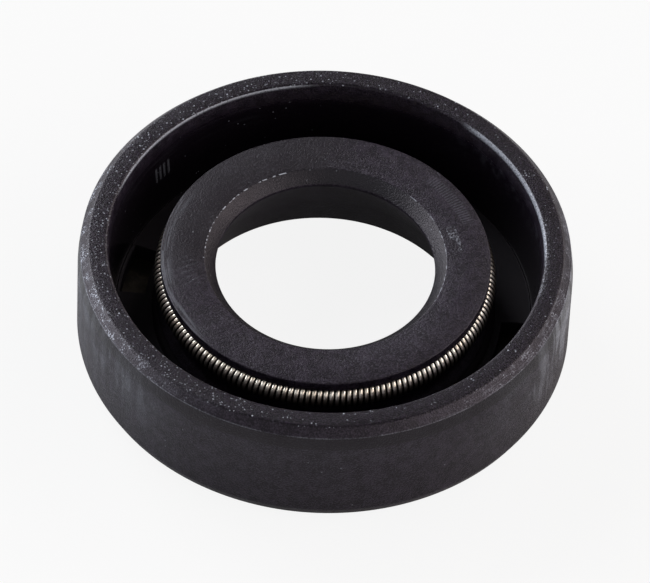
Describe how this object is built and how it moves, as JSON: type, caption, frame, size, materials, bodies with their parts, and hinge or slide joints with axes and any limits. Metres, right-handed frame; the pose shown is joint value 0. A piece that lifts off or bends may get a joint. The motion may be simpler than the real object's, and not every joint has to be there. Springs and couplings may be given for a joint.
{
  "type": "radial shaft seal",
  "caption": "Rubber-covered radial shaft seal with a single sprung lip, lying on its back face with the spring side up.",
  "frame": {"origin": "centre of the back face, where the shaft's axis crosses the plane the seal lies on", "axes": "+Z along the shaft's axis, out of the spring side (oil side); a window in the cavity floor is centred 11.5 degrees clockwise from +X, seen from +Z"},
  "size_m": [0.0202, 0.0202, 0.0052],
  "materials": {
    "moulded_rubber": "moulded nitrile rubber, charcoal with a faint violet bloom, satin and finely mottled",
    "case_steel": "drawn sheet steel with a dull brown bonding coat",
    "spring_wire": "bright drawn spring wire, slightly warm"
  },
  "bodies": {
    "root": {"rubber_body": "moulded_rubber", "steel_case": "case_steel", "garter_spring": "spring_wire"}
  },
  "joints": []
}
